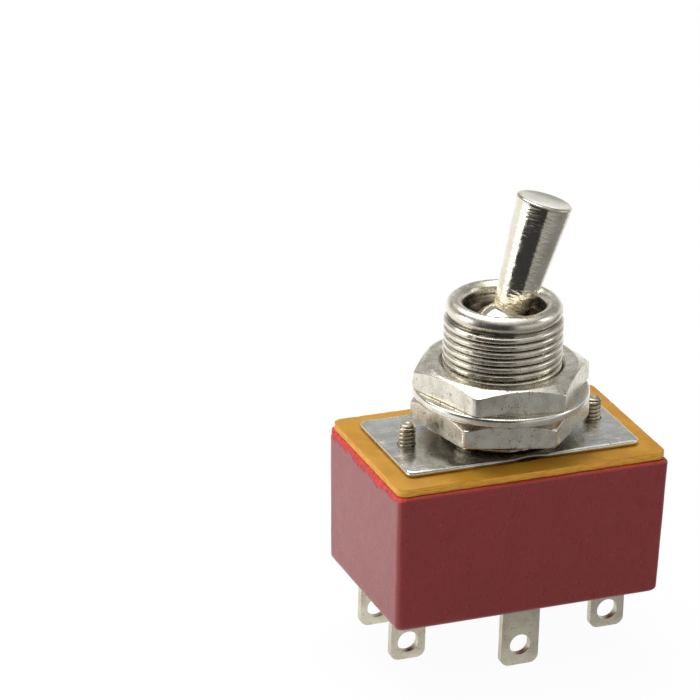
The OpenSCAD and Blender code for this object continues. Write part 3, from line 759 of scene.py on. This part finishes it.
def build_bushing():
    cols = 180
    radii, heights = thread_rows(0.0, THREAD_TOP, THREAD_R, THREAD_ROOT, PITCH, cols, wear=0.10)
    rim_c, rim_z = RIM_R - RIM_ROUND, BUSHING_TOP - RIM_ROUND
    above = [(5.55, THREAD_TOP + 0.03)]
    above += arc(rim_c, rim_z, RIM_ROUND, -42, 205, 24)
    above += [(4.0, PIVOT_Z + 2.7), (3.95, PIVOT_Z + 2.5), (3.5, PIVOT_Z + 2.15),
              (3.45, PIVOT_Z + 2.0), (3.45, PIVOT_Z + 1.8), (3.85, PIVOT_Z + 1.15)]
    bore_z = list(np.linspace(PIVOT_Z + 1.0, 3.0, 24))
    above += [(3.85, z) for z in bore_z] + [(4.95, -1.3)]
    below = [(6.3, -1.3), (6.3, -0.62), (5.6, -0.6), (5.6, 0.0)]
    lathe = np.array(above)
    foot = np.array(below)
    all_r = np.vstack([np.repeat(foot[:, :1], cols, 1), radii, np.repeat(lathe[:, :1], cols, 1)])
    all_z = np.vstack([np.repeat(foot[:, 1:], cols, 1), heights,
                       np.repeat(lathe[:, 1:], cols, 1)])
    # the two keyways that the cross pin runs in
    angle = np.linspace(0, 2 * math.pi, cols, endpoint=False)
    inner = np.zeros(len(all_r), bool)
    inner[len(foot) + len(radii) + 30:] = True
    in_slot = (np.abs(4.3 * np.cos(angle)) < 0.66)[None, :] & (all_z < PIVOT_Z + 0.66)
    in_slot &= inner[:, None]
    all_r = np.where(in_slot & (all_r < 4.75), 4.75, all_r)
    obj = ring_object("bushing_threaded", turned_grid(all_r, all_z, cols), close_rows=True,
                      smooth_angle=60)
    place(obj, "base", "bushing", "nickel_bushing", MATERIALS["nickel_bushing"])


# ---------------------------------------------------------------- nuts, washer
def build_nut(name, z0, turn, worn, seed):
    """A hex nut as rings whose radius follows the six flats, with both chamfers."""
    cols = 360
    angle = np.linspace(0, 2 * math.pi, cols, endpoint=False)
    local = (np.degrees(angle) - turn) % 60
    flat_r = (NUT_AF / 2) / np.cos(np.radians(local - 30))
    corner = np.floor(((np.degrees(angle) - turn) % 360 + 30) / 60) % 6
    blunt = np.array([worn.get(int(c), 0.035) for c in corner])
    corner_r = NUT_AF / math.sqrt(3)
    # a soft corner: the radius stops short of the point
    over = flat_r - (corner_r - blunt * 1.6)
    side = flat_r - np.where(over > 0, over * 0.75, 0.0)
    drop = 0.53 * (side - NUT_FACE_R)
    low_drop = np.clip(0.5 * (side - (corner_r - 0.3)), 0, 0.15)
    bore = THREAD_R + 0.04
    flat = np.full(cols, 1.0)
    rows = [
        (bore * flat, 0 * flat),
        (6.9 * flat, 0 * flat),
        (side - 0.35, 0 * flat),
        (side - 0.10, 0 * flat),
        (side - 0.03, low_drop + 0.02),
        (side, low_drop + 0.09),
        (side, low_drop + 0.20),
        (side, 0.45 * NUT_H * flat),
        (side, NUT_H - drop - 0.16),
        (side, NUT_H - drop - 0.05),
        (side - 0.02, NUT_H - drop - 0.015),
        (side - 0.06, NUT_H - drop + 0.03),
        (side * 0.8 + NUT_FACE_R * 0.2 - 0.05, NUT_H - 0.8 * drop + 0.015),
        (side * 0.3 + NUT_FACE_R * 0.7, NUT_H - 0.3 * drop),
        ((NUT_FACE_R + 0.06) * flat, (NUT_H - 0.02) * flat),
        ((NUT_FACE_R - 0.06) * flat, NUT_H * flat),
        (7.2 * flat, NUT_H * flat),
        (6.7 * flat, NUT_H * flat),
        ((bore + 0.42) * flat, NUT_H * flat),
        ((bore + 0.33) * flat, (NUT_H - 0.02) * flat),
        ((bore + 0.26) * flat, (NUT_H - 0.08) * flat),
        ((bore + 0.04) * flat, (NUT_H - 0.32) * flat),
        (bore * flat, (NUT_H - 0.40) * flat),
    ]
    radii = np.array([r for r, _ in rows])
    heights = np.array([z for _, z in rows])
    for i in range(3, 14):
        for j in range(cols):
            a = angle[j]
            dent = noise.noise(Vector((5 * math.cos(a), 5 * math.sin(a),
                                       0.8 * heights[i, j] + seed)))
            radii[i, j] -= 0.05 * max(0.0, dent)
    obj = ring_object(name + "_hex", turned_grid(radii, heights + z0, cols), close_rows=True,
                      smooth_angle=25)
    place(obj, "base", name, "nickel_nut", MATERIALS["nickel_nut"])


def build_washer():
    soft = 0.3
    profile = [(6.1, 0.0)] + arc(WASHER_R - soft, soft, soft, -90, 0, 7)
    profile += arc(WASHER_R - soft, WASHER_T - soft, soft, 0, 90, 7) + [(6.1, WASHER_T)]
    profile = np.array(profile)
    obj = ring_object("washer_round", turned_grid(profile[:, 0], profile[:, 1] + WASHER_Z, 240),
                      close_rows=True, smooth_angle=40)
    place(obj, "base", "washer", "nickel_washer", MATERIALS["nickel_washer"])


# ---------------------------------------------------------------- screws
def build_screw(name, x):
    cols = 48
    radii, heights = thread_rows(-1.2, SCREW_TOP - 0.22, SCREW_CREST, SCREW_ROOT, SCREW_PITCH,
                                 cols, per_pitch=8, fade=0.1)
    below = [(0.001, SCREW_SEAT - 1.6), (1.6, SCREW_SEAT - 1.6), (1.85, SCREW_SEAT - 1.4),
             (1.9, SCREW_SEAT - 1.2), (1.9, SCREW_SEAT), (0.9, SCREW_SEAT), (0.85, -1.25)]
    above = [(0.74, SCREW_TOP - 0.14), (0.64, SCREW_TOP - 0.02), (0.54, SCREW_TOP),
             (0.30, SCREW_TOP - 0.06), (0.001, SCREW_TOP - 0.10)]
    parts_r = [np.repeat(np.array(part)[:, :1], cols, 1) for part in (below, above)]
    parts_z = [np.repeat(np.array(part)[:, 1:], cols, 1) for part in (below, above)]
    grid = turned_grid(np.vstack([parts_r[0], radii, parts_r[1]]),
                       np.vstack([parts_z[0], heights, parts_z[1]]), cols)
    grid[..., 0] += x
    obj = ring_object(name + "_threaded", grid, caps=True, smooth_angle=50)
    slot = box_cutter(x - 3, x + 3, -0.25, 0.25, SCREW_SEAT - 2.6, SCREW_SEAT - 0.9)
    cut_away(obj, [slot], 50)
    place(obj, "base", name, "screw_steel", MATERIALS["screw_steel"])


# ---------------------------------------------------------------- lever
def build_lever():
    cols = 160
    profile = [(STEM_BORE, -(STEM_L - CHAMBER)), (STEM_BORE, -STEM_L + 0.05),
               (STEM_BORE + 0.05, -STEM_L), (STEM_R - 0.05, -STEM_L), (STEM_R, -STEM_L + 0.05)]
    low_a = -math.degrees(math.acos(STEM_R / BALL_R))
    top_a = math.degrees(math.acos((NECK_R + 0.38) / BALL_R))
    profile += arc(0, 0, BALL_R, low_a, top_a, 40)
    shoulder = profile[-1][1]
    profile += [(NECK_R + 0.24, shoulder + 0.12), (NECK_R + 0.10, shoulder + 0.20),
                (NECK_R - 0.02, shoulder + 0.42), (NECK_R - 0.02, shoulder + 0.6)]
    start = shoulder + 0.75
    heights = np.arange(start, HANDLE_L - 0.3, 0.09)
    first_mark = len(profile)
    for z in heights:
        share = (z - start) / (HANDLE_L - start)
        profile.append((NECK_R + (TIP_R - NECK_R) * share, z))
    profile += [(TIP_R, HANDLE_L - 0.20), (TIP_R - 0.05, HANDLE_L - 0.09),
                (TIP_R - 0.16, HANDLE_L - 0.02), (TIP_R - 0.28, HANDLE_L)]
    dish = 0.13  # hollow of the tip
    profile += [(r, HANDLE_L - dish * (1 - (r / 2.55) ** 2)) for r in np.linspace(2.5, 0.25, 12)]
    profile = np.array(profile)
    radii = np.repeat(profile[:, :1], cols, axis=1)
    angle = np.linspace(0, 2 * math.pi, cols, endpoint=False)
    # turning marks: each pass of the tool waves a little differently round the handle
    rng = np.random.default_rng(7)
    for row in range(first_mark, first_mark + len(heights)):
        for waves, depth in ((7, 0.010), (13, 0.006), (22, 0.003)):
            phase = rng.uniform(0, 2 * math.pi)
            radii[row] += depth * rng.uniform(0.2, 1.0) * np.cos(waves * angle + phase)
    grid = leaning(turned_grid(radii, profile[:, 1], cols))
    obj = ring_object("lever_turned", grid, caps=True, smooth_angle=28)
    pin_hole = cylinder_cutter(0, 0, -5, 5, 0.6, axis="Y")
    pin_hole.data.transform(Matrix.Translation((0, 0, PIVOT_Z * MM)))
    cut_away(obj, [pin_hole], 28)
    place(obj, "lever", "lever", "nickel_lever", MATERIALS["nickel_lever"])


# ---------------------------------------------------------------- tabs and inner pieces
def build_tabs():
    for number in range(1, 7):
        node = f"terminal_{number}"
        obj = dressed_copy(node, 0.07, 2, wobble=0.012)
        place(obj, "base", node, "tinned_brass", MATERIALS["tinned_brass"])


def dress_cad_nodes():
    """Inner CAD nodes keep their shape and get the node materials."""
    slots = {s["node"]: s["material_slot"] for s in frame["record"]["subparts"]}
    for node, obj in NODES.items():
        material = MATERIALS[slots[node]]
        if not obj.material_slots:
            obj.data.materials.append(material)
        for index in range(len(obj.material_slots)):
            obj.material_slots[index].material = material


# ---------------------------------------------------------------- stage
CAMERA_PLACE = (-153.17, -329.66, 164.01)
CAMERA_RIGHT = (0.92749, -0.37293, 0.02618)
CAMERA_UP = (0.12478, 0.37483, 0.91866)
CAMERA_AHEAD = (0.35241, 0.84878, -0.39419)
FOCAL_PIXELS, FRAME_PIXELS, SENSOR = 4000, 700, 36.0
FLOOR_HEIGHT = -22.62
FLOOR_HALF = 3000
FLOOR_GLOW = 0.96  # share that the camera and reflections see as light
FLOOR_BACKWARD = (-0.35, 0.94, 0.0)
# level of the floor in reflections, by mm from the front of the studio to its back
FLOOR_LEVELS = [(-110, 0.55), (-62, 0.27), (-20, 0.30), (5, 1.0), (40, 1.15), (160, 1.3)]
# level of the studio in reflections by the sine of the elevation
WORLD_LEVELS = [(-1.0, 0.4), (0.0, 1.0), (0.11, 0.95), (0.32, 0.46), (0.70, 0.32), (0.86, 0.95),
                (1.0, 1.1)]
WORLD_DIFFUSE = 0.42
# lamps: place, target, size in mm, power in W, colour
LAMPS = {
    "key": ((-20, 190, 430), (0, 0, 0), (340, 360), 1.9, (1.0, 0.985, 0.96)),
    "fill": ((420, -160, 240), (0, 0, 0), (160, 220), 0.25, (0.96, 0.98, 1.0)),
    "side": ((-430, 60, 90), (0, 0, -5), (300, 220), 0.8, (1.0, 1.0, 1.0)),
}


def build_camera():
    data = bpy.data.cameras.new("camera")
    data.sensor_width = SENSOR
    data.lens = SENSOR * FOCAL_PIXELS / FRAME_PIXELS
    data.clip_start, data.clip_end = 0.01, 10
    camera = bpy.data.objects.new("camera", data)
    CLEAN_COLLECTION.objects.link(camera)
    turn = Matrix((CAMERA_RIGHT, CAMERA_UP, tuple(-v for v in CAMERA_AHEAD))).transposed()
    camera.matrix_world = Matrix.Translation(Vector(CAMERA_PLACE) * MM) @ turn.to_4x4()
    bpy.context.scene.camera = camera


def level_ramp(tree, value, stops):
    """A level that follows value smoothly; stops are pairs (value, level)."""
    level = None
    for (low, start), (high, end) in zip(stops, stops[1:]):
        step = tree.nodes.new("ShaderNodeMapRange")
        step.interpolation_type = "SMOOTHSTEP"
        tree.links.new(value, step.inputs["Value"])
        step.inputs["From Min"].default_value = low
        step.inputs["From Max"].default_value = high
        step.inputs["To Min"].default_value = start if level is None else 0.0
        step.inputs["To Max"].default_value = end if level is None else end - start
        if level is None:
            level = step.outputs[0]
        else:
            total = tree.nodes.new("ShaderNodeMath")
            total.operation = "ADD"
            tree.links.new(level, total.inputs[0])
            tree.links.new(step.outputs[0], total.inputs[1])
            level = total.outputs[0]
    return level


def distance_along(tree, direction):
    """How far a point lies along a world direction, in mm."""
    coord = tree.nodes.new("ShaderNodeNewGeometry")
    along = tree.nodes.new("ShaderNodeVectorMath")
    along.operation = "DOT_PRODUCT"
    along.inputs[1].default_value = [v / MM for v in direction]
    tree.links.new(coord.outputs["Position"], along.inputs[0])
    return along.outputs["Value"]


def backdrop_material(name, colour):
    """Pale paper: white to the camera, and brighter towards the back in reflections."""
    material = bpy.data.materials.new(name)
    material.use_nodes = True
    tree = material.node_tree
    tree.nodes.clear()
    output = tree.nodes.new("ShaderNodeOutputMaterial")
    paper = tree.nodes.new("ShaderNodeBsdfDiffuse")
    paper.inputs["Color"].default_value = rgba(*colour)
    glow = tree.nodes.new("ShaderNodeEmission")
    glow.inputs["Color"].default_value = rgba(1, 1, 1)
    path = tree.nodes.new("ShaderNodeLightPath")
    seen = tree.nodes.new("ShaderNodeMath")
    seen.operation = "MAXIMUM"
    tree.links.new(path.outputs["Is Camera Ray"], seen.inputs[0])
    tree.links.new(path.outputs["Is Glossy Ray"], seen.inputs[1])
    shade = level_ramp(tree, distance_along(tree, FLOOR_BACKWARD), FLOOR_LEVELS)
    level = tree.nodes.new("ShaderNodeMix")
    level.data_type = "FLOAT"
    tree.links.new(path.outputs["Is Camera Ray"], level.inputs["Factor"])
    tree.links.new(shade, level.inputs[2])
    level.inputs[3].default_value = 1.0
    tree.links.new(level.outputs[0], glow.inputs["Strength"])
    share = tree.nodes.new("ShaderNodeMath")
    share.operation = "MULTIPLY"
    share.inputs[1].default_value = FLOOR_GLOW
    tree.links.new(seen.outputs[0], share.inputs[0])
    mix = tree.nodes.new("ShaderNodeMixShader")
    tree.links.new(share.outputs[0], mix.inputs[0])
    tree.links.new(paper.outputs[0], mix.inputs[1])
    tree.links.new(glow.outputs[0], mix.inputs[2])
    tree.links.new(mix.outputs[0], output.inputs["Surface"])
    return material


def build_floor():
    corners = [(x * FLOOR_HALF, y * FLOOR_HALF, FLOOR_HEIGHT)
               for x, y in ((-1, -1), (1, -1), (1, 1), (-1, 1))]
    floor = make_object("floor", corners, [(0, 1, 2, 3)])
    floor.data.materials.append(backdrop_material("paper", (0.9, 0.9, 0.9)))


def reflection_card(name, centre, size, facing, strength):
    """A card seen only in reflections, with its own level of light."""
    data = bpy.data.meshes.new(name)
    w, h = size[0] / 2 * MM, size[1] / 2 * MM
    data.from_pydata([(-w, -h, 0), (w, -h, 0), (w, h, 0), (-w, h, 0)], [], [(0, 1, 2, 3)])
    card = bpy.data.objects.new(name, data)
    CLEAN_COLLECTION.objects.link(card)
    direction = Vector(facing) - Vector(centre)
    card.matrix_world = (Matrix.Translation(Vector(centre) * MM)
                         @ direction.to_track_quat("Z", "Y").to_matrix().to_4x4())
    material = bpy.data.materials.new(name)
    material.use_nodes = True
    tree = material.node_tree
    tree.nodes.clear()
    output = tree.nodes.new("ShaderNodeOutputMaterial")
    glow = tree.nodes.new("ShaderNodeEmission")
    glow.inputs["Color"].default_value = rgba(1, 1, 1)
    glow.inputs["Strength"].default_value = strength
    tree.links.new(glow.outputs[0], output.inputs["Surface"])
    data.materials.append(material)
    card.visible_camera = False
    card.visible_diffuse = False
    card.visible_shadow = False
    card.visible_transmission = False


def area_light(name, place, target, size, power, colour):
    data = bpy.data.lights.new(name, "AREA")
    data.shape = "RECTANGLE"
    data.size, data.size_y = size[0] * MM, size[1] * MM
    data.energy = power
    data.color = colour
    lamp = bpy.data.objects.new(name, data)
    CLEAN_COLLECTION.objects.link(lamp)
    direction = Vector(target) - Vector(place)
    lamp.matrix_world = (Matrix.Translation(Vector(place) * MM)
                         @ direction.to_track_quat("-Z", "Y").to_matrix().to_4x4())


def build_world():
    """White to the camera, pale near the horizon and dim overhead in reflections."""
    world = bpy.data.worlds.new("studio")
    world.use_nodes = True
    tree = world.node_tree
    background = tree.nodes["Background"]
    path = tree.nodes.new("ShaderNodeLightPath")
    coord = tree.nodes.new("ShaderNodeTexCoord")
    axes = tree.nodes.new("ShaderNodeSeparateXYZ")
    tree.links.new(coord.outputs["Generated"], axes.inputs[0])
    level = level_ramp(tree, axes.outputs["Z"], WORLD_LEVELS)
    glossy = tree.nodes.new("ShaderNodeMix")
    glossy.data_type = "FLOAT"
    tree.links.new(path.outputs["Is Glossy Ray"], glossy.inputs["Factor"])
    glossy.inputs[2].default_value = WORLD_DIFFUSE
    tree.links.new(level, glossy.inputs[3])
    direct = tree.nodes.new("ShaderNodeMath")
    direct.operation = "MAXIMUM"
    tree.links.new(path.outputs["Is Camera Ray"], direct.inputs[0])
    tree.links.new(path.outputs["Is Transmission Ray"], direct.inputs[1])
    final = tree.nodes.new("ShaderNodeMix")
    final.data_type = "FLOAT"
    tree.links.new(direct.outputs[0], final.inputs["Factor"])
    tree.links.new(glossy.outputs[0], final.inputs[2])
    final.inputs[3].default_value = 1.0
    tree.links.new(final.outputs[0], background.inputs["Strength"])
    background.inputs["Color"].default_value = rgba(1, 1, 1)
    bpy.context.scene.world = world


def build_stage():
    build_camera()
    build_floor()
    build_world()
    for name, lamp in LAMPS.items():
        area_light(name, *lamp)
    reflection_card("flag_front", (-12.2, -13.9, 12.5), (32, 20), (2.2, 0, 12.5), 0.05)
    bpy.context.scene.view_settings.view_transform = "Standard"


# ---------------------------------------------------------------- build
dress_cad_nodes()
build_housing()
build_tab_numbers()
build_sheet()
build_plate()
build_bushing()
build_nut("lower_nut", LOWER_NUT_Z, -16.7, {4: 0.07}, 3.0)
build_nut("upper_nut", UPPER_NUT_Z, -9.95, {4: 0.16, 3: 0.05}, 9.0)
build_washer()
build_screw("screw_left", SCREW_PLACES[0])
build_screw("screw_right", SCREW_PLACES[1])
build_lever()
build_tabs()
build_stage()
